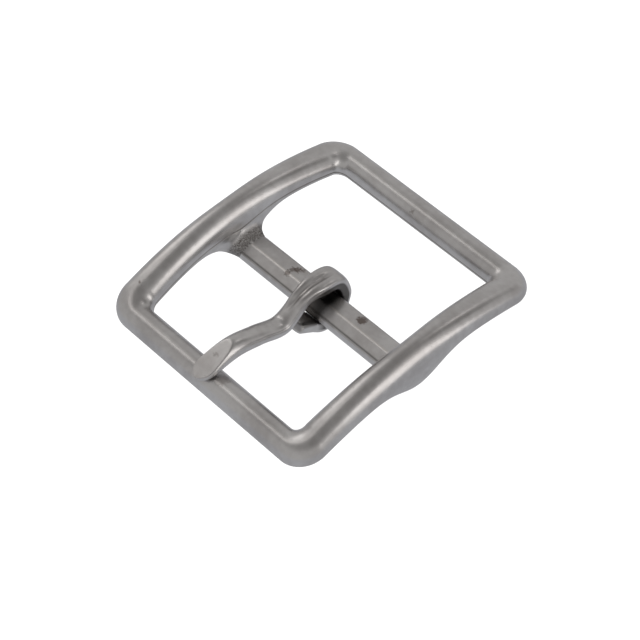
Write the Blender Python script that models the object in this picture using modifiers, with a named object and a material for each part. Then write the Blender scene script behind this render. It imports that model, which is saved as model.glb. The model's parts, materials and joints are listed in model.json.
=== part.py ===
"""Centre-bar belt buckle: a cast frame and a cast prong that turns on the frame's centre bar.

Metres, +Z up. X runs along the bars, -Y points where the prong's tip points, and the lowest point
of the prong's hook is at z = 0.
"""

import math

import bpy
import numpy as np
from mathutils import Matrix

# Frame, seen from above
WIDTH = 0.0504
LENGTH = 0.0545
END_WIDTH = 0.0051
RAIL_WIDTH = 0.0057
RAIL_CORNER_EXTRA = 0.0005
RAIL_BOW = 0.0002
OUTER_RADIUS = 0.0052
INNER_RADIUS = 0.0016

# Frame, seen from the side
END_HEIGHT = 0.0042
RAIL_HEIGHT = 0.0049
ARCH_RISE = 0.0038
LUG_LENGTH = 0.0060
LUG_STEP = 0.0001
LUG_SHOULDER = 0.20
WIDEST_LEVEL = 0.34
DOME_POWER = 2.1
FOOT_CORNER = 0.21
LUG_CORNER = 0.42

# Centre bar
BAR_WIDTH = 0.0056
BAR_HEIGHT = 0.0036
BAR_EDGE = 0.0013
BAR_LIFT = 0.0003
BAR_FILLET = 0.0025
FILLET_FADE = 0.2

# Prong
PRONG_GAP = 0.0003
HOOK_THICKNESS = 0.0019
SHANK_THICKNESS = 0.0028
TIP_THICKNESS = 0.0009
LEAF_WIDTH = 0.0045
LEAF_THICKNESS = 0.0014
LEAF_LENGTH = 0.0052
LEAF_RISE = 0.0006
TIP_DROP = 0.0010
HOOK_WIDTH = 0.0046
SHANK_WIDTH = 0.0040
NECK_WIDTH = 0.0037
NECK_THICKNESS = 0.0024
TIP_WIDTH = 0.0048
TIP_ROUND = 0.0031
TIP_BLUNTNESS = 0.03
TIP_INSET = 0.0002
ROOF_REACH = 0.0054
ROOF_DEGREES = (94, 53)
BACK_REACH = 0.00455
BACK_DEGREES = 11
ROUND_DEGREES = range(-20, -161, -20)
TAIL_REACH = 0.0066
DIP_REACH = 0.0089
DIP_HEIGHT = 0.0020
NECK_REACH = 0.0040
NECK_HEIGHT = 0.0048
PRONG_POWER = 2.2

# Mesh density
CORNER_STEPS = 7
RAIL_STEPS = 41
END_STEPS = 5
DOME_STEPS = 10
FOOT_STEPS = 4
PRONG_STEPS = 86
PRONG_SIDES = 16
BAR_EDGE_STEPS = 5
SHARP_DEGREES = 40

# What follows from the sizes above
BAR_SIZE_REACH = math.hypot(BAR_WIDTH / 2 - BAR_EDGE, BAR_HEIGHT / 2 - BAR_EDGE) + BAR_EDGE
HOOK_REACH = BAR_SIZE_REACH + PRONG_GAP + HOOK_THICKNESS / 2
BAR_Z = HOOK_REACH + HOOK_THICKNESS / 2
END_BASE = BAR_Z - BAR_LIFT
END_TOP = END_BASE + END_HEIGHT
LUG_BASE = BAR_Z - BAR_HEIGHT / 2 + LUG_STEP
CREST_Y = END_WIDTH / 2 - LENGTH / 2


def clear_scene():
    for scene_object in list(bpy.data.objects):
        bpy.data.objects.remove(scene_object, do_unlink=True)


def new_collection(name, helpers=False):
    collection = bpy.data.collections.new(name)
    collection.hide_render = helpers
    bpy.context.scene.collection.children.link(collection)
    return collection


def satin_steel(name, roughness):
    material = bpy.data.materials.new(name)
    material.use_nodes = True
    shader = material.node_tree.nodes["Principled BSDF"]
    shader.inputs["Base Color"].default_value = (0.55, 0.53, 0.51, 1.0)
    shader.inputs["Metallic"].default_value = 1.0
    shader.inputs["Roughness"].default_value = roughness
    return material


def signed_power(values, power):
    return np.sign(values) * np.abs(values) ** power


def smooth_path(points, count):
    """Catmull-Rom curve through the points, with the same number of places between each two."""
    points = np.asarray(points, dtype=float)
    padded = np.vstack([2 * points[0] - points[1], points, 2 * points[-1] - points[-2]])
    number = np.linspace(0, len(points) - 1 - 1e-9, count)
    first = number.astype(int)
    t = (number - first)[:, None]
    a, b, c, d = (padded[first + k] for k in range(4))
    rising = 0.5 * (c - a)
    bending = a - 2.5 * b + 2 * c - 0.5 * d
    turning = 1.5 * (b - c) + 0.5 * (d - a)
    return b + rising * t + bending * t**2 + turning * t**3


def loft(name, sections, material, collection, looped):
    """Closed mesh through an array of sections (station, corner, xyz), joined end to end or capped."""
    stations, corners, _ = sections.shape
    station = np.arange(stations if looped else stations - 1)[:, None]
    corner = np.arange(corners)[None, :]
    after = (station + 1) % stations
    beside = (corner + 1) % corners
    quads = np.stack(
        [
            station * corners + corner,
            after * corners + corner,
            after * corners + beside,
            station * corners + beside,
        ],
        axis=-1,
    )
    faces = quads.reshape(-1, 4).tolist()
    if not looped:
        faces.append(list(range(corners)))
        faces.append(list(range(stations * corners - 1, (stations - 1) * corners - 1, -1)))
    mesh = bpy.data.meshes.new(name)
    mesh.from_pydata(sections.reshape(-1, 3).tolist(), [], faces)
    mesh.materials.append(material)
    mesh.shade_smooth()
    mesh.set_sharp_from_angle(angle=math.radians(SHARP_DEGREES))
    lofted = bpy.data.objects.new(name, mesh)
    collection.objects.link(lofted)
    return lofted


def rounded_rectangle(half_x, half_y, radius):
    """Plan outline, counter-clockwise from the front end of the +X side, with evenly split stretches."""
    turn = np.linspace(0, np.pi / 2, CORNER_STEPS)
    corners = []
    for quarter, (side_x, side_y) in enumerate([(1, 1), (-1, 1), (-1, -1), (1, -1)]):
        angle = turn + quarter * np.pi / 2
        centre = np.array([side_x * (half_x - radius), side_y * (half_y - radius)])
        corners.append(centre + radius * np.stack([np.cos(angle), np.sin(angle)], axis=1))
    pieces = []
    for quarter, corner in enumerate(corners):
        steps = RAIL_STEPS if quarter % 2 == 0 else END_STEPS
        share = np.linspace(0, 1, steps + 2)[1:-1, None]
        before = corners[quarter - 1][-1]
        pieces += [before + (corner[0] - before) * share, corner]
    return np.vstack(pieces)


def ring_section():
    """D-shaped section: its place across (0 inner, 1 outer), how a foot's corner bends that, and its level.

    Level 0 is where the section is widest, 1 the crest and -1 the flat foot.
    """
    over = np.linspace(0, np.pi, DOME_STEPS + 1)
    under = np.linspace(0, np.pi / 2, FOOT_STEPS + 1)[1:]
    bend = 1 - np.cos(under)
    dome_across = 0.5 + 0.5 * signed_power(np.cos(over), 2 / DOME_POWER)
    across = np.concatenate([dome_across, np.zeros(FOOT_STEPS), np.ones(FOOT_STEPS)])
    corner_bend = np.concatenate([np.zeros(DOME_STEPS + 1), bend, -bend[::-1]])
    dome_level = signed_power(np.sin(over), 2 / DOME_POWER)
    level = np.concatenate([dome_level, -np.sin(under), -np.sin(under[::-1])])
    return across, corner_bend, level


def bar_distance(y, z):
    """Distance from the surface of the endless centre bar, negative inside it."""
    beyond_y = np.abs(y) - (BAR_WIDTH / 2 - BAR_EDGE)
    beyond_z = np.abs(z - BAR_Z) - (BAR_HEIGHT / 2 - BAR_EDGE)
    outside = np.hypot(np.maximum(beyond_y, 0), np.maximum(beyond_z, 0))
    return outside + np.minimum(np.maximum(beyond_y, beyond_z), 0) - BAR_EDGE


def fillet_width(distance, radius):
    """How far a fillet stands out from a wall at a distance from the surface that it runs up to."""
    remaining = np.clip(radius - distance, 0, radius)
    return radius - np.sqrt(radius**2 - remaining**2)


def ring_sections():
    """Sections of the frame round its plan: level end bars, arched rails and a lug under each rail."""
    half_x = WIDTH / 2 - RAIL_BOW
    half_y = LENGTH / 2
    rail_corner = RAIL_WIDTH + RAIL_CORNER_EXTRA
    outer = rounded_rectangle(half_x, half_y, OUTER_RADIUS)
    inner = rounded_rectangle(half_x - rail_corner, half_y - END_WIDTH, INNER_RADIUS)

    along = np.clip(np.abs(outer[:, 1]) / (half_y - OUTER_RADIUS), 0, 1)
    rail = np.isclose(np.abs(outer[:, 0]), half_x)
    swell = np.sign(outer[:, 0]) * rail * (1 - along**2)
    outer[:, 0] += swell * RAIL_BOW
    inner[:, 0] += swell * (RAIL_BOW + RAIL_CORNER_EXTRA)

    middle_y = (outer[:, 1] + inner[:, 1]) / 2
    arch = 1 - np.clip(np.abs(middle_y) / (half_y - END_WIDTH / 2), 0, 1) ** 2
    lug = np.exp(-((middle_y / LUG_LENGTH) ** 2)) * rail
    lug_drop = (END_BASE + ARCH_RISE - LUG_BASE) * lug
    base = END_BASE + ARCH_RISE * arch
    top = END_TOP + (ARCH_RISE + RAIL_HEIGHT - END_HEIGHT) * arch
    widest = base + (top - base) * WIDEST_LEVEL - lug_drop * LUG_SHOULDER
    base = base - lug_drop

    across, corner_bend, level = ring_section()
    corner_share = FOOT_CORNER + (LUG_CORNER - FOOT_CORNER) * lug
    share = across + corner_share[:, None] * corner_bend
    plan = inner[:, None, :] + (outer - inner)[:, None, :] * share[:, :, None]
    above = (top - widest)[:, None] * np.maximum(level, 0)
    below = (widest - base)[:, None] * np.minimum(level, 0)
    height = widest[:, None] + above + below

    inward = np.clip((0.5 - share) / FILLET_FADE, 0, 1) * rail[:, None]
    root = fillet_width(bar_distance(plan[:, :, 1], height), BAR_FILLET)
    plan[:, :, 0] -= np.sign(plan[:, :, 0]) * inward * root
    return np.concatenate([plan, height[:, :, None]], axis=2)


def make_bar(material, collection):
    """Centre bar: a long box with rounded edges whose ends lie inside the rails."""
    half_span = WIDTH / 2 - RAIL_WIDTH / 2
    bpy.ops.mesh.primitive_cube_add(size=1, location=(0, 0, BAR_Z))
    bar = bpy.context.active_object
    bar.name = "bar_body"
    bar.data.transform(Matrix.Diagonal((2 * half_span, BAR_WIDTH, BAR_HEIGHT, 1)))
    bar.data.materials.append(material)
    rounding = bar.modifiers.new("rounded edges", "BEVEL")
    rounding.width = BAR_EDGE
    rounding.segments = BAR_EDGE_STEPS
    rounding.limit_method = "ANGLE"
    for owner in bar.users_collection:
        owner.objects.unlink(bar)
    collection.objects.link(bar)
    bar.display_type = "WIRE"
    bar.hide_render = True
    return bar


def make_frame(material, collection, helpers):
    frame = loft("frame", ring_sections(), material, collection, looped=True)
    join = frame.modifiers.new("centre bar", "BOOLEAN")
    join.operation = "UNION"
    join.object = make_bar(material, helpers)
    return frame


def prong_stations():
    """The prong from its tip to its tail: y and z from the bar's axis, width and thickness at each place."""
    crest_height = END_TOP + PRONG_GAP + LEAF_THICKNESS / 2 - BAR_Z
    leaf_y = CREST_Y + LEAF_LENGTH
    leaf_height = crest_height + LEAF_RISE
    shank = [
        (TIP_INSET - LENGTH / 2, crest_height - TIP_DROP, TIP_WIDTH, TIP_THICKNESS),
        (CREST_Y, crest_height, LEAF_WIDTH, LEAF_THICKNESS),
        (leaf_y, leaf_height, SHANK_WIDTH, SHANK_THICKNESS),
        ((leaf_y - DIP_REACH) / 2, (leaf_height + DIP_HEIGHT) / 2, SHANK_WIDTH, SHANK_THICKNESS),
        (-DIP_REACH, DIP_HEIGHT, SHANK_WIDTH, SHANK_THICKNESS),
        (-NECK_REACH, NECK_HEIGHT, NECK_WIDTH, NECK_THICKNESS),
    ]
    reaches = [(degrees, ROOF_REACH) for degrees in ROOF_DEGREES] + [(BACK_DEGREES, BACK_REACH)]
    reaches += [(degrees, HOOK_REACH) for degrees in ROUND_DEGREES]
    hook = []
    for degrees, reach in reaches:
        angle = math.radians(degrees)
        hook.append((reach * math.cos(angle), reach * math.sin(angle), HOOK_WIDTH, HOOK_THICKNESS))
    tail = [(-TAIL_REACH, 0.0, HOOK_WIDTH, HOOK_THICKNESS)]
    return shank + hook + tail


def prong_sections():
    """Sections of the prong along its line, rounded off in plan at the tip."""
    stations = smooth_path(prong_stations(), PRONG_STEPS)
    places = stations[:, :2]
    heading = np.gradient(places, axis=0)
    heading /= np.linalg.norm(heading, axis=1)[:, None]
    outward = np.stack([-heading[:, 1], heading[:, 0]], axis=1)
    travelled = np.concatenate([[0.0], np.cumsum(np.linalg.norm(np.diff(places, axis=0), axis=1))])
    before_round = np.clip(1 - travelled / TIP_ROUND, 0, 1)
    width = stations[:, 2] * np.sqrt(1 - (1 - TIP_BLUNTNESS) * before_round**2)
    thickness = stations[:, 3]

    angle = (np.arange(PRONG_SIDES) + 0.5) * 2 * np.pi / PRONG_SIDES
    x = width[:, None] / 2 * signed_power(np.cos(angle), 2 / PRONG_POWER)
    lift = thickness[:, None] / 2 * signed_power(np.sin(angle), 2 / PRONG_POWER)
    y = places[:, None, 0] + outward[:, None, 0] * lift
    z = places[:, None, 1] + outward[:, None, 1] * lift
    return np.stack([x, y, z], axis=2)


def make_prong(material, collection):
    prong = loft("prong", prong_sections(), material, collection, looped=False)
    prong.location = (0, 0, BAR_Z)
    return prong


def main():
    clear_scene()
    buckle = new_collection("belt_buckle")
    helpers = new_collection("helpers", helpers=True)
    make_frame(satin_steel("frame_steel", 0.32), buckle, helpers)
    make_prong(satin_steel("prong_steel", 0.30), buckle)


main()
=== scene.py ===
"""Centre-bar belt buckle of satin-polished cast stainless steel: a frame, and a prong hooked round its bar.

Metres, +Z up. X runs along the bars, the prong's tip points to -Y, and z = 0 is the underside of the hook.
"""

import json
import math

import bpy
import numpy as np
from mathutils import Matrix, Vector


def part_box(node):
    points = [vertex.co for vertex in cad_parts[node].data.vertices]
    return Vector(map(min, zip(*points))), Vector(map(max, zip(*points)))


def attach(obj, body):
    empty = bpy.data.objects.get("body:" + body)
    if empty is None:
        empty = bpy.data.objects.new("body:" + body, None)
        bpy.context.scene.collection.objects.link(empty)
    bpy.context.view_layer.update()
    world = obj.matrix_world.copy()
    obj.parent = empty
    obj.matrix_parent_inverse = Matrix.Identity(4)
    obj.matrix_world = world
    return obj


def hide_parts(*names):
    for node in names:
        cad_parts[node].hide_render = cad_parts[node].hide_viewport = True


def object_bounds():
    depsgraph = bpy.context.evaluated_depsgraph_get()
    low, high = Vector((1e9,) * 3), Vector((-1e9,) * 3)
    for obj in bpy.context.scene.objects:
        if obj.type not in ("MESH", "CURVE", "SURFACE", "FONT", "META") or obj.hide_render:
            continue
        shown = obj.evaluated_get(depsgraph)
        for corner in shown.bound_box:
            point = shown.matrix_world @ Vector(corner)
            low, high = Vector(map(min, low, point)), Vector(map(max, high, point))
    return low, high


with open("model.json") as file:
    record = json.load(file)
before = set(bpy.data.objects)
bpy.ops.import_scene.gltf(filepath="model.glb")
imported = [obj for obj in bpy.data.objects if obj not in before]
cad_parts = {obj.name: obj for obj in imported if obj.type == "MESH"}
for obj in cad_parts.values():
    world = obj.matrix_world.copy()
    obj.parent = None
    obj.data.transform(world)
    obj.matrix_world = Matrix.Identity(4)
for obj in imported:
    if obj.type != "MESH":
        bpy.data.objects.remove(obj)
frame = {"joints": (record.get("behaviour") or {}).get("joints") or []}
cad_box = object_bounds()


# Camera: over the buckle's front right corner, looking down on the prong, as on a product stand.
# It is level but for the small lean that the buckle takes when it rests on its hook.
turn = math.radians(52.2)
climb = math.radians(51.1)
lean = math.radians(-6.2)
opening = math.radians(15.26)
standoff = 0.4041
slide = -0.00055
drop = -0.0040

middle = (cad_box[0] + cad_box[1]) / 2
backward = Vector((math.sin(turn) * math.cos(climb), -math.cos(turn) * math.cos(climb), math.sin(climb)))
rightward = Vector((math.cos(turn), math.sin(turn), 0))
upward = backward.cross(rightward)
eye = middle + slide * rightward + drop * upward + standoff * backward
leaned_right = math.cos(lean) * rightward + math.sin(lean) * upward
leaned_up = math.cos(lean) * upward - math.sin(lean) * rightward

camera_data = bpy.data.cameras.new("camera")
camera_data.angle = opening
camera_data.clip_start = 0.01
camera_data.clip_end = 20
camera = bpy.data.objects.new("camera", camera_data)
bpy.context.scene.collection.objects.link(camera)
aim = Matrix((leaned_right, leaned_up, backward)).transposed().to_4x4()
camera.matrix_world = Matrix.Translation(eye) @ aim
bpy.context.scene.camera = camera
bpy.context.scene.view_settings.view_transform = "Standard"


# Floor: a sheet of white card under the buckle, lit so evenly that it hardly takes a shadow.
# Its upper side glows a little, as card on a light table does.
card_half = 1.5
card_white = 0.90
card_glow = 0.88
card_roughness = 0.9

card_mesh = bpy.data.meshes.new("white_card")
card_corners = card_half * np.array([(-1, -1, 0), (1, -1, 0), (1, 1, 0), (-1, 1, 0)])
card_mesh.from_pydata(card_corners.tolist(), [], [(0, 1, 2, 3)])
card = bpy.data.objects.new("white_card", card_mesh)
bpy.context.scene.collection.objects.link(card)
card_material = bpy.data.materials.new("white_card")
card_material.use_nodes = True
card_shader = card_material.node_tree.nodes["Principled BSDF"]
card_shader.inputs["Base Color"].default_value = (card_white, card_white, card_white, 1)
card_shader.inputs["Roughness"].default_value = card_roughness
card_shader.inputs["Specular IOR Level"].default_value = 0
card_shader.inputs["Emission Color"].default_value = (1, 1, 1, 1)
card_shader.inputs["Emission Strength"].default_value = card_glow
card_mesh.materials.append(card_material)
card.visible_glossy = False


# Light: a grey room with a darker ceiling overhead and a dark doorway behind.
# Four soft boxes hang round the stand. Each is given by its turn and climb from the buckle and its own lean,
# in degrees, then its width, height and gleam.
room_grey = (0.460, 0.450, 0.443, 1)
floor_grey = (0.455, 0.460, 0.480, 1)
horizon_edges = (-0.25, 0.05)
ceiling_grey = (0.255, 0.248, 0.243, 1)
ceiling_edges = (0.66, 0.95)
doorway_grey = (0.185, 0.180, 0.175, 1)
doorway_way = (151, 41)
doorway_edges = (0.955, 0.992)
box_distance = 1.0
box_white = (1.0, 0.965, 0.935)
soft_boxes = {
    "right_window": (108, 17, 24, 0.30, 0.90, 0.98),
    "left_window": (263, 39, 0, 0.30, 0.46, 0.62),
    "skylight": (279, 60, 0, 0.22, 0.24, 0.62),
    "rear_window": (174, 50, 0, 0.15, 0.18, 0.80),
}


def way_to(turned, climbed):
    """Unit vector at a turn from -Y towards +X and a climb above level, both in degrees."""
    turned, climbed = math.radians(turned), math.radians(climbed)
    level = math.cos(climbed)
    return Vector((math.sin(turned) * level, -math.cos(turned) * level, math.sin(climbed)))


class Value:
    """A number held as a shader socket: a sum written with such numbers adds its Math nodes."""

    def __init__(self, nodes, socket):
        self.nodes = nodes
        self.socket = socket

    def maths(self, operation, *terms):
        return self.nodes.value("ShaderNodeMath", {"operation": operation}, dict(enumerate(terms)))

    def __add__(self, other):
        return self.maths("ADD", self, other)

    def __radd__(self, other):
        return self.maths("ADD", other, self)

    def __sub__(self, other):
        return self.maths("SUBTRACT", self, other)

    def __rsub__(self, other):
        return self.maths("SUBTRACT", other, self)

    def __mul__(self, other):
        return self.maths("MULTIPLY", self, other)

    def __rmul__(self, other):
        return self.maths("MULTIPLY", other, self)


class Nodes:
    """A node tree in the making: its nodes are added here and linked as they are added."""

    def __init__(self, tree):
        self.tree = tree
        self.tree.nodes.clear()

    def node(self, kind, settings, inputs):
        """Adds a node: its settings first, then each input, as a value or as a link."""
        made = self.tree.nodes.new(kind)
        for setting, choice in settings.items():
            setattr(made, setting, choice)
        for slot, given in inputs.items():
            if isinstance(given, Value):
                given = given.socket
            if isinstance(given, bpy.types.NodeSocket):
                self.tree.links.new(given, made.inputs[slot])
            else:
                made.inputs[slot].default_value = given
        return made

    def value(self, kind, settings, inputs, output=0):
        """Adds a node and gives the number that comes out of it."""
        return Value(self, self.node(kind, settings, inputs).outputs[output])

    def between(self, value, low, high):
        """0 below low, 1 above high, and a smooth rise between them."""
        settings = {"interpolation_type": "SMOOTHSTEP", "clamp": True}
        inputs = {"Value": value, "From Min": low, "From Max": high}
        return self.value("ShaderNodeMapRange", settings, inputs)

    def noise(self, place, scale, detail):
        """A cloudy pattern from 0 to 1, with so many clouds to the metre."""
        inputs = {"Vector": place, "Scale": scale, "Detail": detail}
        return self.value("ShaderNodeTexNoise", {}, inputs, "Fac")

    def marked(self, name):
        """The number that a mesh carries for each of its points under a name."""
        return self.value("ShaderNodeAttribute", {"attribute_name": name}, {}, "Fac")

    def blend(self, share, first, second):
        """A colour between two colours."""
        settings = {"data_type": "RGBA"}
        return self.node("ShaderNodeMix", settings, {0: share, 6: first, 7: second}).outputs[2]


world = bpy.data.worlds.new("room")
bpy.context.scene.world = world
world.use_nodes = True
room = Nodes(world.node_tree)
look = room.node("ShaderNodeTexCoord", {}, {}).outputs["Generated"]
height = room.value("ShaderNodeSeparateXYZ", {}, {0: look}, "Z")
toward_doorway = room.value(
    "ShaderNodeVectorMath", {"operation": "DOT_PRODUCT"}, {0: look, 1: way_to(*doorway_way)}, "Value"
)
room_shade = room.blend(room.between(height, *horizon_edges), floor_grey, room_grey)
room_shade = room.blend(room.between(height, *ceiling_edges), room_shade, ceiling_grey)
room_shade = room.blend(room.between(toward_doorway, *doorway_edges), room_shade, doorway_grey)
background = room.node("ShaderNodeBackground", {}, {"Color": room_shade})
room.node("ShaderNodeOutputWorld", {}, {"Surface": background.outputs[0]})

for box_name, (turned, climbed, leaning, box_width, box_height, gleam) in soft_boxes.items():
    box_data = bpy.data.lights.new(box_name, "AREA")
    box_data.shape = "RECTANGLE"
    box_data.size = box_width
    box_data.size_y = box_height
    box_data.energy = gleam * 4 * box_width * box_height
    box_data.color = box_white
    soft_box = bpy.data.objects.new(box_name, box_data)
    bpy.context.scene.collection.objects.link(soft_box)
    way = way_to(turned, climbed)
    facing = way.to_track_quat("Z", "Y").to_matrix() @ Matrix.Rotation(math.radians(leaning), 3, "Z")
    soft_box.matrix_world = Matrix.Translation(middle + way * box_distance) @ facing.to_4x4()


# Frame: one investment casting, with two level end bars, two arched rails and the centre bar between them.
# It is tumbled and satin-polished all over, but for the roots of the bar, where a wheel doesn't reach
# and the skin of the casting is left. A fine witness line of the mould runs round inside both windows,
# painted dark for the shade and the dirt in its notch.
frame_low, frame_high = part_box("frame")
pivot_z = frame["joints"][0]["pos_m"][2]
half_width = frame_high.x
half_length = frame_high.y

end_width = 0.0051
rail_width = 0.0057
rail_corner_extra = 0.0005
rail_bow = 0.0002
outer_radius = 0.0052
inner_radius = 0.0016

bar_sink = 0.0003
end_height = 0.0042
rail_height = 0.0049
arch_rise = frame_high.z - (pivot_z - bar_sink) - rail_height
lug_length = 0.0060
lug_shoulder = 0.20
widest_level = 0.34
dome_power = 2.1
foot_corner = 0.21
rail_corner = 0.28
lug_inner_corner = 0.24
lug_outer_corner = 0.52

witness_height = 0.00028
witness_depth = 0.00011
witness_in = np.array([0.3, 1.0, 1.0, 0.2])
witness_down = np.array([0.15, 0.45, 0.65, 0.95])
# How dark each row of the notch is painted: shade and dirt in the witness line.
witness_dark = np.array([0.6, 1.0, 1.0, 0.5])
fillet_radius = 0.0029
fillet_proud = 0.00005
fillet_end = 0.985
skin_width = 0.0012
skin_roughness = 0.000035
skin_seed = 7
inner_side = 0.2
ridge_width = 0.00016
step_width = 0.00012
bar_top_from = 0.0006
# Painted shade on the bar where the prong's hook wraps round it: its reach to each side of the hook, its
# fading and its reach along Y.
hook_shade_reach = 0.0030
hook_shade_blur = 0.0009
hook_shade_depth = 0.004
sharp_edge = math.radians(35)

rail_places = 280
rail_crowding = 0.55
end_places = 56
corner_places = 30
dome_places = 44
wall_places = 26
bar_places = 81
bar_arc_places = 8
bar_side_step = 0.00016


def spread(count, crowding):
    """Shares from 0 to 1 without the two ends, closer together in the middle: a straight and a cubed part."""
    t = np.linspace(-1, 1, count + 2)[1:-1]
    return 0.5 + 0.5 * ((1 - crowding) * t + crowding * t**3)


def plan_outline(half_x, half_y, radius):
    """Rounded rectangle from above, counter-clockwise: quarter circles joined by straight stretches."""
    bend = np.linspace(0, np.pi / 2, corner_places)
    corners = []
    for quarter, (side_x, side_y) in enumerate([(1, 1), (-1, 1), (-1, -1), (1, -1)]):
        angle = bend + quarter * np.pi / 2
        centre = np.array([side_x * (half_x - radius), side_y * (half_y - radius)])
        corners.append(centre + radius * np.stack([np.cos(angle), np.sin(angle)], axis=1))
    stretches = []
    for quarter, corner in enumerate(corners):
        share = spread(rail_places, rail_crowding) if quarter % 2 == 0 else spread(end_places, 0)
        before = corners[quarter - 1][-1]
        stretches += [before + (corner[0] - before) * share[:, None], corner]
    return np.vstack(stretches)


def signed_power(values, power):
    """The power of a number's size, with the number's own sign."""
    return np.sign(values) * np.abs(values) ** power


def rounded_profile(corners, steps):
    """Closed outline from corners given as y, z and radius: each is an arc that touches both its sides."""
    points = np.array([corner[:2] for corner in corners])
    radii = np.array([corner[2] for corner in corners])
    before = np.roll(points, 1, axis=0) - points
    after = np.roll(points, -1, axis=0) - points
    before /= np.linalg.norm(before, axis=1)[:, None]
    after /= np.linalg.norm(after, axis=1)[:, None]
    half_angle = np.arccos(np.clip((before * after).sum(axis=1), -1, 1)) / 2
    middle_way = before + after
    middle_way /= np.linalg.norm(middle_way, axis=1)[:, None]
    centre = points + middle_way * (radii / np.sin(half_angle))[:, None]
    sweep = (np.pi / 2 - half_angle)[:, None] * np.linspace(-1, 1, steps)
    side = np.sign(middle_way[:, 0] * after[:, 1] - middle_way[:, 1] * after[:, 0])[:, None]
    turned = sweep * side
    away = -middle_way[:, None, :]
    arc_y = away[:, :, 0] * np.cos(turned) + away[:, :, 1] * np.sin(turned)
    arc_z = away[:, :, 1] * np.cos(turned) - away[:, :, 0] * np.sin(turned)
    arcs = centre[:, None, :] + radii[:, None, None] * np.stack([arc_y, arc_z], axis=2)
    return arcs.reshape(-1, 2)


bar_profile = [
    (0.00262, 0.00132, 0.00080),
    (-0.00045, 0.00190, 0.0012),
    (-0.00248, 0.00106, 0.00015),
    (-0.00246, 0.00088, 0.00005),
    (-0.00276, 0.00072, 0.0002),
    (-0.00292, -0.00030, 0.0010),
    (-0.00235, -0.0018, 0.0006),
    (0.00235, -0.0018, 0.0006),
    (0.00290, -0.00020, 0.0011),
]


def with_steps(outline, step):
    """A closed outline with points added to its own at equal steps of its length."""
    closed = np.vstack([outline, outline[:1]])
    length = np.concatenate([[0], np.cumsum(np.linalg.norm(np.diff(closed, axis=0), axis=1))])
    stops = np.unique(np.concatenate([length, np.arange(0, length[-1], step)]))[:-1]
    return np.stack([np.interp(stops, length, closed[:, k]) for k in (0, 1)], axis=1)


bar_section = with_steps(rounded_profile(bar_profile, bar_arc_places), bar_side_step)


def bar_distance(y, z):
    """Distance from the outline of the bar's section: the least over its sides, negative within it."""
    start = bar_section
    side = np.roll(start, -1, axis=0) - start
    place = np.stack([y, z - pivot_z], axis=-1).reshape(-1, 1, 2)
    near = (np.abs(place[:, 0, 0]) < half_length / 2).nonzero()[0]
    reach = place[near] - start
    share = np.clip((reach * side).sum(axis=2) / (side**2).sum(axis=1), 0, 1)
    away = np.linalg.norm(reach - share[:, :, None] * side, axis=2).min(axis=1)
    rises = (reach[:, :, 1] > 0) != (reach[:, :, 1] > side[:, 1])
    with np.errstate(divide="ignore", invalid="ignore"):
        crossing = reach[:, :, 1] * side[:, 0] / side[:, 1]
    within = (rises & (reach[:, :, 0] < crossing)).sum(axis=1) % 2 == 1
    distance = np.full(y.size, half_length)
    distance[near] = np.where(within, -away, away)
    return distance.reshape(y.shape)


def fillet_reach(distance):
    """How far a round fillet stands out: radius less the root of radius squared less the rest squared."""
    left = np.clip(fillet_radius + fillet_proud - distance, 0, fillet_end * fillet_radius)
    return fillet_radius - np.sqrt(fillet_radius**2 - left**2)


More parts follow.
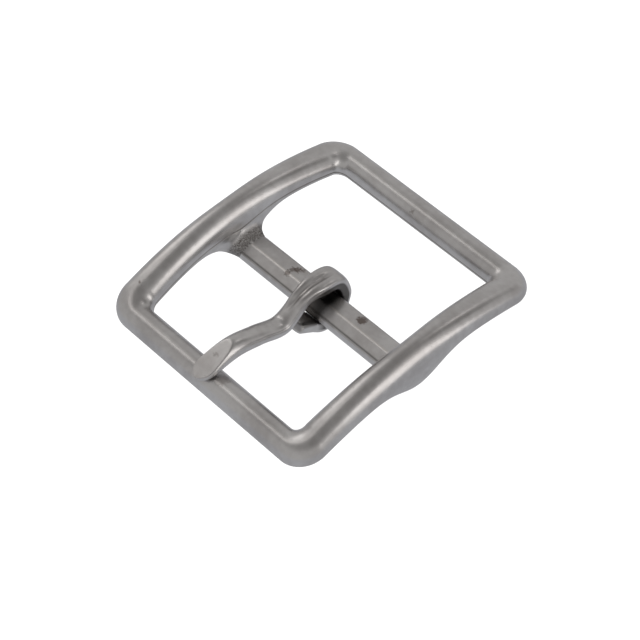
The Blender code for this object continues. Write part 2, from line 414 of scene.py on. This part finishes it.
def ring_grid():
    """The frame without its bar, as places round the plan by places round the section.

    A place round the plan joins a point of the inner outline to one of the outer outline. The section is
    the upper half of a superellipse between them, then a notch and a wall inside, a flat foot, and a wall
    outside. Heights rise along the rails as a parabola, and the wall's foot sinks to the bar's underside in
    a bell curve.
    """
    half_x = half_width - rail_bow
    inner_half_x = half_x - rail_width - rail_corner_extra
    outer = plan_outline(half_x, half_length, outer_radius)
    inner = plan_outline(inner_half_x, half_length - end_width, inner_radius)
    along = np.clip(np.abs(outer[:, 1]) / (half_length - outer_radius), 0, 1)
    rail = np.isclose(np.abs(outer[:, 0]), half_x)
    swell = np.sign(outer[:, 0]) * rail * (1 - along**2)
    outer[:, 0] += swell * rail_bow
    inner[:, 0] += swell * (rail_bow + rail_corner_extra)

    y = (outer[:, 1] + inner[:, 1]) / 2
    arch = 1 - np.clip(np.abs(y) / (half_length - end_width / 2), 0, 1) ** 2
    lug = np.exp(-((y / lug_length) ** 2)) * rail
    end_base = pivot_z - bar_sink
    lug_drop = (end_base + arch_rise - frame_low.z) * lug
    base = end_base + arch_rise * arch
    top = end_base + end_height + (arch_rise + rail_height - end_height) * arch
    widest = base + (top - base) * widest_level - lug_drop * lug_shoulder
    base = base - lug_drop

    over = np.linspace(0, np.pi, dome_places + 1)
    under = np.linspace(0, np.pi / 2, wall_places + 1)
    dome_across = 0.5 + 0.5 * signed_power(np.cos(over), 2 / dome_power)
    notch_and_wall = len(witness_in) + len(under)
    across = np.concatenate([dome_across, np.zeros(notch_and_wall), np.ones(len(under) - 1)])
    bend = 1 - np.cos(under)
    before_wall = len(over) + len(witness_in)
    inner_bend = np.concatenate([np.zeros(before_wall), bend, np.zeros(len(bend) - 1)])
    outer_bend = np.concatenate([np.zeros(len(over) + notch_and_wall), bend[:0:-1]])
    inner_corner = foot_corner + (lug_inner_corner - foot_corner) * lug
    outer_corner = foot_corner + (rail_corner - foot_corner) * arch
    outer_corner += (lug_outer_corner - outer_corner) * lug
    share = across + inner_corner[:, None] * inner_bend - outer_corner[:, None] * outer_bend
    plan = inner[:, None, :] + (outer - inner)[:, None, :] * share[:, :, None]

    dome = widest[:, None] + (top - widest)[:, None] * signed_power(np.sin(over), 2 / dome_power)
    notch = widest[:, None] - witness_height * witness_down
    wall_top = widest - witness_height
    inner_wall = wall_top[:, None] - (wall_top - base)[:, None] * np.sin(under)
    outer_wall = widest[:, None] - (widest - base)[:, None] * np.sin(under[:0:-1])
    z = np.concatenate([dome, notch, inner_wall, outer_wall], axis=1)

    outward = outer - inner
    outward /= np.linalg.norm(outward, axis=1)[:, None]
    notch_rows = slice(len(over), before_wall)
    plan[:, notch_rows] += outward[:, None, :] * (witness_depth * witness_in)[None, :, None]

    inward = np.clip((0.5 - share) / inner_side, 0, 1) * rail[:, None]
    distance = bar_distance(plan[:, :, 1], z)
    plan[:, :, 0] -= np.sign(plan[:, :, 0]) * inward * fillet_reach(distance)

    skin = np.exp(-((np.maximum(distance, 0) / skin_width) ** 2)) * inward
    pitted = np.random.default_rng(skin_seed).normal(size=skin.shape)
    plan[:, :, 0] += pitted * skin * skin_roughness

    witness = np.zeros_like(z)
    witness[:, notch_rows] = witness_dark
    return np.concatenate([plan, z[:, :, None]], axis=2), witness, skin


def grid_mesh(name, grid, looped):
    """Closed mesh on a grid of sections, joined end to end or else with a flat face over both ends."""
    stations, places, _ = grid.shape
    station = np.arange(stations if looped else stations - 1)[:, None]
    place = np.arange(places)[None, :]
    after = (station + 1) % stations
    beside = (place + 1) % places
    here, there = station * places, after * places
    quads = np.stack([here + place, there + place, there + beside, here + beside], axis=-1)
    faces = quads.reshape(-1, 4).tolist()
    if not looped:
        faces.append(list(range(places)))
        faces.append(list(range(stations * places - 1, (stations - 1) * places - 1, -1)))
    mesh = bpy.data.meshes.new(name)
    mesh.from_pydata(grid.reshape(-1, 3).tolist(), [], faces)
    return mesh


def kept_numbers(mesh, grid, values):
    """The numbers of a grid's points for the same places on a mesh, and 0 for the rest.

    Places are matched by a key, the sum of x, y and z with a weight for each.
    """
    key_weights = (1.0, 31.7, 977.3)
    points = np.zeros(len(mesh.vertices) * 3, np.float32)
    mesh.vertices.foreach_get("co", points)
    old, new = (
        sum(weight * column.astype(float) for weight, column in zip(key_weights, places.reshape(-1, 3).T))
        for places in (grid.astype(np.float32), points)
    )
    order = np.argsort(old)
    found = np.clip(np.searchsorted(old[order], new), 0, len(old) - 1)
    return np.where(old[order][found] == new, values.reshape(-1)[order][found], 0)


def mark(mesh, name, values):
    """Stores one number for each point of a mesh, for a material to read."""
    attribute = mesh.attributes.new(name, "FLOAT", "POINT")
    attribute.data.foreach_set("value", values.reshape(-1).astype(np.float32))


ring, ring_witness, ring_skin = ring_grid()
frame_mesh = grid_mesh("buckle_frame", ring, looped=True)

bar_line = np.linspace(-1, 1, bar_places) * (half_width - rail_width / 2)
bar_grid = np.zeros((len(bar_line), len(bar_section), 3))
bar_grid[:, :, 0] = bar_line[:, None]
bar_grid[:, :, 1:] = bar_section + np.array([0, pivot_z])

frame_piece = bpy.data.objects.new("buckle_frame", frame_mesh)
bar_mesh = grid_mesh("centre_bar", bar_grid, looped=False)
bar_piece = bpy.data.objects.new("centre_bar", bar_mesh)
for piece in (frame_piece, bar_piece):
    bpy.context.scene.collection.objects.link(piece)
cast_on = frame_piece.modifiers.new("centre bar", "BOOLEAN")
cast_on.operation = "UNION"
cast_on.object = bar_piece
bpy.context.view_layer.update()
evaluated = frame_piece.evaluated_get(bpy.context.evaluated_depsgraph_get())
joined = bpy.data.meshes.new_from_object(evaluated)
frame_piece.modifiers.clear()
frame_piece.data = joined
joined.name = "buckle_frame"
bpy.data.objects.remove(bar_piece)
mark(joined, "witness", kept_numbers(joined, ring, ring_witness))
mark(joined, "skin", kept_numbers(joined, ring, ring_skin))

# A painted highlight: the bar's ridge is painted whiter in a narrow bell curve along its top.
ridge_y = bar_profile[1][0]
step_y = bar_profile[3][0]
bar_top = bar_section[:, 1] > bar_top_from
worn = np.exp(-(((bar_section[:, 0] - ridge_y) / ridge_width) ** 2)) * bar_top
# Painted shade: the step near the bar's front edge is painted darker along its crease.
step_shade = np.exp(-(((bar_section[:, 0] - step_y) / step_width) ** 2)) * bar_top
mark(joined, "worn", kept_numbers(joined, bar_grid, np.tile(worn, (bar_places, 1))))
mark(joined, "grime", kept_numbers(joined, bar_grid, np.tile(step_shade, (bar_places, 1))))

joined_places = np.zeros(len(joined.vertices) * 3, np.float32)
joined.vertices.foreach_get("co", joined_places)
# Painted shade on the bar beside and under the hook, where shade falls.
beside_hook = np.clip((hook_shade_reach - np.abs(joined_places[::3])) / hook_shade_blur, 0, 1)
mark(joined, "soot", beside_hook * (np.abs(joined_places[1::3]) < hook_shade_depth))
joined.shade_smooth()
joined.set_sharp_from_angle(angle=sharp_edge)

steel_dark = (0.535, 0.520, 0.514, 1)
steel_light = (0.695, 0.688, 0.684, 1)
# The colour of the painted highlight along the bar's ridge.
ridge_highlight_white = (0.86, 0.83, 0.80, 1)
# The colour of the painted shade in creases.
crease_shade_grey = (0.22, 0.21, 0.20, 1)
cast_brown = (0.20, 0.185, 0.175, 1)
# The colour of the witness line: painted shade and dirt in its notch.
notch_shade_and_dirt = (0.16, 0.15, 0.14, 1)
pit_brown = (0.25, 0.23, 0.21, 1)
# The colour of the stains and of the painted shadow under the prong's tip.
stain_and_shadow_brown = (0.10, 0.065, 0.05, 1)
# The colour of the painted shade inside and beside the hook.
hook_shade_black = (0.05, 0.045, 0.04, 1)

cloud_scale = 110
mottle_scale = 900
grain_scale = 9000
sand_scale = 5200
ragged_scale = 2600
pit_scale = 650
pit_edges = (0.02, 0.07)
ragged_reach = 0.0016
grain_relief = 0.0000009
sand_relief = 0.00013
pit_relief = 0.000012


def satin_steel(name, stains_and_shadows):
    """Stainless steel with a soft gleam, a cloudy tone, small pits, stains and a painted shadow, and its
    mesh's own marks, painted highlight and painted shade among them.
    """
    material = bpy.data.materials.new(name)
    material.use_nodes = True
    finish = Nodes(material.node_tree)
    place = finish.node("ShaderNodeTexCoord", {}, {}).outputs["Object"]
    clouds = finish.noise(place, cloud_scale, 3)
    mottle = finish.noise(place, mottle_scale, 3)
    grain = finish.noise(place, grain_scale, 2)
    sand = finish.noise(place, sand_scale, 3)
    ragged = finish.noise(place, ragged_scale, 4)
    pit_field = finish.value("ShaderNodeTexVoronoi", {}, {"Vector": place, "Scale": pit_scale}, "Distance")
    pits = 1 - finish.between(pit_field, *pit_edges)
    witness = finish.marked("witness")
    as_cast = finish.between(finish.marked("skin"), 0.05, 0.6)

    colour = finish.blend(finish.between(clouds + 0.4 * mottle, 0.45, 0.95), steel_dark, steel_light)
    # The painted highlight along the bar's ridge.
    colour = finish.blend(finish.marked("worn") * 0.8, colour, ridge_highlight_white)
    # Painted shade along the bar's front step and along the prong's valley.
    colour = finish.blend(finish.marked("grime") * 0.75, colour, crease_shade_grey)
    colour = finish.blend(as_cast * finish.between(sand, 0.75, 0.35), colour, cast_brown)
    # The witness line painted dark: painted shade and dirt in its notch.
    colour = finish.blend(witness * 0.75, colour, notch_shade_and_dirt)
    colour = finish.blend(pits * 0.35, colour, pit_brown)
    # Stains, and the painted shadow under the prong's tip, darken the colour towards brown round each spot.
    for spot, width, strength in stains_and_shadows:
        away = finish.value("ShaderNodeVectorMath", {"operation": "DISTANCE"}, {0: place, 1: spot}, "Value")
        edge = away + ragged_reach * ragged - ragged_reach / 2
        colour = finish.blend((1 - finish.between(edge, width * 0.45, width)) * strength, colour, stain_and_shadow_brown)
    # Painted shade inside and beside the hook.
    colour = finish.blend(finish.marked("soot") * 0.85, colour, hook_shade_black)

    roughness = 0.24 + 0.06 * clouds + 0.06 * grain + 0.22 * as_cast + 0.25 * witness
    relief = grain * grain_relief + as_cast * sand * sand_relief - pits * pit_relief
    bump = finish.node("ShaderNodeBump", {}, {"Height": relief, "Distance": 1.0, "Strength": 1.0})
    surface = {"Base Color": colour, "Metallic": 1.0, "Roughness": roughness, "Normal": bump.outputs[0]}
    shader = finish.node("ShaderNodeBsdfPrincipled", {}, surface)
    finish.node("ShaderNodeOutputMaterial", {}, {"Surface": shader.outputs[0]})
    return material


# Each stain, and the painted shadow of the prong's tip, is given by its place, its reach and its strength.
frame_stains_and_shadow = [
    ((-0.0078, -0.0006, pivot_z + 0.0018), 0.0008, 0.60),
    ((-0.0078, 0.0006, pivot_z + 0.0018), 0.0008, 0.65),
    ((-0.0071, 0.0013, pivot_z + 0.0017), 0.0008, 0.70),
    ((-0.0064, 0.0018, pivot_z + 0.0016), 0.0007, 0.50),
    ((0.0088, 0.0013, pivot_z + 0.0016), 0.0012, 0.78),
    ((-0.0015, 0.0230, pivot_z + 0.0033), 0.0005, 0.40),
    ((-0.0219, -0.0211, 0.0102), 0.0004, 0.60),
    ((-0.0184, 0.0212, 0.0090), 0.0005, 0.55),
    # A painted shadow, not a stain: the dark patch beside the prong's tip on the front bar, where its shadow
    # falls.
    ((0.0029, -0.0243, 0.0090), 0.0016, 0.40),
]
joined.materials.clear()
joined.materials.append(satin_steel("frame_satin_steel", frame_stains_and_shadow))
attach(frame_piece, "frame")
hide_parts("frame")


# Prong: a second casting, whose hook is closed round the bar with a press once it is in place.
# Its shank is a rounded bar, and the tip is ground flat on top into a leaf that lies on the front bar.
prong_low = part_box("prong")[0]
loose_fit = 0.0003
seat = end_height - bar_sink + loose_fit

hook_thickness = 0.0019
hook_width = 0.0046
hook_inner_extra = 0.0002
hook_rear_extra = 0.0006
hook_top_extra = 0.0011
hook_top_reach = 0.0054
hook_rear_reach = 0.00455
hook_tail_reach = 0.00435
hook_tail_extra = 0.0004
hook_start = 0.004
prong_drift = 0.0005

tip_round = 0.0031
tip_narrowing = 0.97
least_below = 0.00002
end_rounding = 0.00035
leaf_length = 0.0083
leaf_fades = 0.003
leaf_tip_rise = 0.00025
leaf_rear_height = 0.00705
leaf_rim = 0.00004
leaf_power = 2.0
shank_power = 2.05
hook_power = 3.2

bend_y = -0.0060
bend_length = 0.0085
bend_blur = 0.0035
valley_depth = 0.00055
valley_width = 0.00065
valley_start = -0.0003
valley_slope = 0.05
# How strongly the prong's valley is painted darker: painted shade.
valley_shade_strength = 0.7
seam_depth = 0.00005
seam_angle = math.radians(28)
seam_spread = 0.06

prong_places = 600
prong_sides = 128


def smooth_path(points, count):
    """Catmull-Rom curve: cubics whose slope at a point is half the step between its neighbours."""
    points = np.asarray(points, dtype=float)
    padded = np.vstack([2 * points[0] - points[1], points, 2 * points[-1] - points[-2]])
    number = np.linspace(0, len(points) - 1 - 1e-9, count)
    first = number.astype(int)
    t = (number - first)[:, None]
    a, b, c, d = (padded[first + k] for k in range(4))
    rising = 0.5 * (c - a)
    bending = a - 2.5 * b + 2 * c - 0.5 * d
    turning = 1.5 * (b - c) + 0.5 * (d - a)
    return b + rising * t + bending * t**2 + turning * t**3


def prong_line():
    """The prong's line, tip to tail: y and z from the bar's axis, width, reach above and reach below."""
    front_crest = end_width / 2 - half_length
    hook_reach = pivot_z - hook_thickness / 2
    shank = [
        (prong_low.y, seat - 0.00040, 0.0048, 0.0011, 0.00035),
        (front_crest, seat + 0.00025, 0.0045, 0.0016, 0.00025),
        (front_crest + 0.0052, seat + 0.00055, 0.0042, 0.0022, 0.00065),
        (-0.0142, 0.0036, 0.0041, 0.0016, 0.0012),
        (-0.0089, 0.0020, 0.0040, 0.0014, 0.0014),
        (-0.0040, 0.0048, 0.0037, 0.0012, 0.0012),
    ]
    around = [(degrees, hook_top_reach, hook_top_extra) for degrees in (94, 53)]
    around.append((11, hook_rear_reach, hook_rear_extra))
    around += [(degrees, hook_reach, hook_inner_extra) for degrees in range(-20, -141, -20)]
    around.append((-152, hook_tail_reach, hook_tail_extra))
    hook = []
    for degrees, reach, extra in around:
        angle = math.radians(degrees)
        half = hook_thickness / 2
        hook.append((reach * math.cos(angle), reach * math.sin(angle), hook_width, half, half + extra))
    tail = [(-0.0066, 0.0, hook_width, hook_thickness / 2, hook_thickness / 2)]
    return smooth_path(shank + hook + tail, prong_places)


def window(values, low, high, blur):
    """1 between two values and 0 beyond them, with a smooth slope as wide as the blur at each."""
    rise = np.clip((values - low) / blur + 0.5, 0, 1)
    fall = np.clip((high - values) / blur + 0.5, 0, 1)
    return rise * rise * (3 - 2 * rise) * fall * fall * (3 - 2 * fall)


def prong_grid():
    """Sections square to the line, each two half superellipses, rounded over at both ends of the prong.

    A valley is pressed in a bell curve along the outside of the bend, and a seam along the shank's right
    side. Whatever stands above a sloping plane is ground off at the tip. Returned with the places are the
    painted shade inside the hook and the painted shade along the valley.
    """
    line = prong_line()
    places = line[:, :2]
    heading = np.gradient(places, axis=0)
    heading /= np.linalg.norm(heading, axis=1)[:, None]
    outward = np.stack([-heading[:, 1], heading[:, 0]], axis=1)
    travelled = np.concatenate([[0.0], np.cumsum(np.linalg.norm(np.diff(places, axis=0), axis=1))])
    bend_start = travelled[np.argmin(np.abs(places[: prong_places // 2, 0] - bend_y))]

    from_end = np.minimum(travelled, travelled[-1] - travelled)
    rounding = np.clip(end_rounding - from_end, 0, end_rounding)
    inset = end_rounding - np.sqrt(end_rounding**2 - rounding**2)
    before_round = np.clip(1 - travelled / tip_round, 0, 1)
    half = line[:, 2] / 2 * np.sqrt(1 - tip_narrowing * before_round**2) - inset
    above = line[:, 3] - inset
    below = np.maximum(line[:, 4] - inset, least_below)

    power_stops = [leaf_length, leaf_length + leaf_fades, bend_start, bend_start + hook_start]
    power = np.interp(travelled, power_stops, [leaf_power, shank_power, shank_power, hook_power])[:, None]
    angle = (np.arange(prong_sides) + 0.5) * 2 * np.pi / prong_sides
    round_x = signed_power(np.cos(angle), 2 / power)
    round_z = signed_power(np.sin(angle), 2 / power)
    x = half[:, None] * round_x
    lift = np.where(round_z > 0, above[:, None], below[:, None]) * round_z

    bend = window(travelled, bend_start, bend_start + bend_length, bend_blur)[:, None] * (round_z > 0)
    valley_line = (valley_start + valley_slope * (travelled - bend_start))[:, None]
    lift -= valley_depth * bend * np.exp(-(((x - valley_line) / valley_width) ** 2))
    shank = window(travelled, tip_round + leaf_length * 0.8, bend_start + 0.002, 0.003)[:, None]
    x -= seam_depth * shank * np.exp(-(((angle - seam_angle) / seam_spread) ** 2))

    y = places[:, None, 0] + outward[:, None, 0] * lift
    z = places[:, None, 1] + outward[:, None, 1] * lift
    tip_top = seat + leaf_tip_rise
    leaf_plane = tip_top + (leaf_rear_height - tip_top) * (y - prong_low.y) / leaf_length
    z = (z + leaf_plane) / 2 - np.sqrt(((z - leaf_plane) / 2) ** 2 + leaf_rim**2) + pivot_z

    # Painted shade along the valley of the bend, a little to one side of its line.
    grime = bend * np.exp(-(((x - valley_line - 0.0003) / (0.6 * valley_width)) ** 2))
    # Painted shade on the inside of the hook, where it wraps round the bar.
    soot = (lift < 0) * window(travelled, bend_start + hook_start, travelled[-1] - 0.005, 0.003)[:, None]
    drift = prong_drift * np.clip(1 - travelled / bend_start, 0, 1)[:, None]
    return np.stack([x - drift, y, z], axis=2), soot, grime * valley_shade_strength


prong_points, prong_hook_shade, prong_crease_shade = prong_grid()
prong_mesh = grid_mesh("buckle_prong", prong_points, looped=False)
# Painted shade inside the hook.
mark(prong_mesh, "soot", prong_hook_shade)
# Painted shade along the valley.
mark(prong_mesh, "grime", prong_crease_shade)
prong_mesh.shade_smooth()
prong_mesh.set_sharp_from_angle(angle=sharp_edge)
prong_piece = bpy.data.objects.new("buckle_prong", prong_mesh)
bpy.context.scene.collection.objects.link(prong_piece)
prong_stains = [((-0.0005, -0.0225, 0.0108), 0.0006, 0.35)]
prong_mesh.materials.append(satin_steel("prong_satin_steel", prong_stains))
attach(prong_piece, "prong")
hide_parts("prong")
